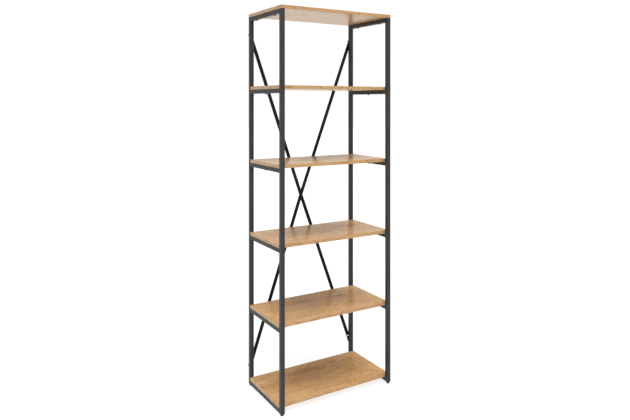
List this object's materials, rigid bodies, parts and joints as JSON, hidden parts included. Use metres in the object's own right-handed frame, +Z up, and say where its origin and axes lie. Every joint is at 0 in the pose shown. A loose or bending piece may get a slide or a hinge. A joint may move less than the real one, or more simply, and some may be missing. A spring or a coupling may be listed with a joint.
{
  "type": "bookcase",
  "caption": "Tall open bookcase: oak-look shelves and top board on two welded square-tube side frames, with an X brace behind and levelling feet.",
  "frame": {"origin": "on the floor, at the middle of the overall box's base", "axes": "+X to the right seen from the front, +Y from the front to the back, +Z up"},
  "size_m": [0.62, 0.3772, 1.85],
  "materials": {
    "frame": "fine textured matt powder coat, anthracite",
    "brace": "matt black powder coat",
    "oak_board": "natural oak decor, low sheen, grain along the length",
    "oak_edge": "oak-look edge strip, low sheen",
    "black_fastener": "black plated steel",
    "plain_steel": "zinc-plated steel",
    "black_plastic": "moulded black plastic, fine grain"
  },
  "bodies": {
    "bookcase": {"post_front_left": "frame", "post_front_right": "frame", "post_rear_left": "frame", "post_rear_right": "frame", "rail_left_1": "frame", "rail_left_2": "frame", "rail_left_3": "frame", "rail_left_4": "frame", "rail_left_5": "frame", "rail_left_6": "frame", "rail_right_1": "frame", "rail_right_2": "frame", "rail_right_3": "frame", "rail_right_4": "frame", "rail_right_5": "frame", "rail_right_6": "frame", "shelf_1": "oak_board", "shelf_1_edging": "oak_edge", "shelf_2": "oak_board", "shelf_2_edging": "oak_edge", "shelf_3": "oak_board", "shelf_3_edging": "oak_edge", "shelf_4": "oak_board", "shelf_4_edging": "oak_edge", "shelf_5": "oak_board", "shelf_5_edging": "oak_edge", "top_board": "oak_board", "top_board_edging": "oak_edge", "shelf_screws": "black_fastener", "top_board_screws": "black_fastener", "brace_bar_falling": "brace", "brace_bar_rising": "brace", "brace_studs": "plain_steel", "brace_cap_nuts": "black_fastener", "brace_washers": "black_fastener", "crossing_bolt": "black_fastener", "crossing_nut": "black_fastener", "foot_insert_front_left": "black_plastic", "foot_insert_front_right": "black_plastic", "foot_insert_rear_left": "black_plastic", "foot_insert_rear_right": "black_plastic"},
    "foot_front_left": {"foot_pad_front_left": "black_plastic", "foot_stud_front_left": "plain_steel"},
    "foot_front_right": {"foot_pad_front_right": "black_plastic", "foot_stud_front_right": "plain_steel"},
    "foot_rear_left": {"foot_pad_rear_left": "black_plastic", "foot_stud_rear_left": "plain_steel"},
    "foot_rear_right": {"foot_pad_rear_right": "black_plastic", "foot_stud_rear_right": "plain_steel"}
  },
  "joints": [
    {"name": "foot_front_left_screw", "type": "slide", "parent": "bookcase", "child": "foot_front_left", "axis": [0, 0, -1], "range_m": [0, 0.01]},
    {"name": "foot_front_right_screw", "type": "slide", "parent": "bookcase", "child": "foot_front_right", "axis": [0, 0, -1], "range_m": [0, 0.01]},
    {"name": "foot_rear_left_screw", "type": "slide", "parent": "bookcase", "child": "foot_rear_left", "axis": [0, 0, -1], "range_m": [0, 0.01]},
    {"name": "foot_rear_right_screw", "type": "slide", "parent": "bookcase", "child": "foot_rear_right", "axis": [0, 0, -1], "range_m": [0, 0.01]}
  ]
}
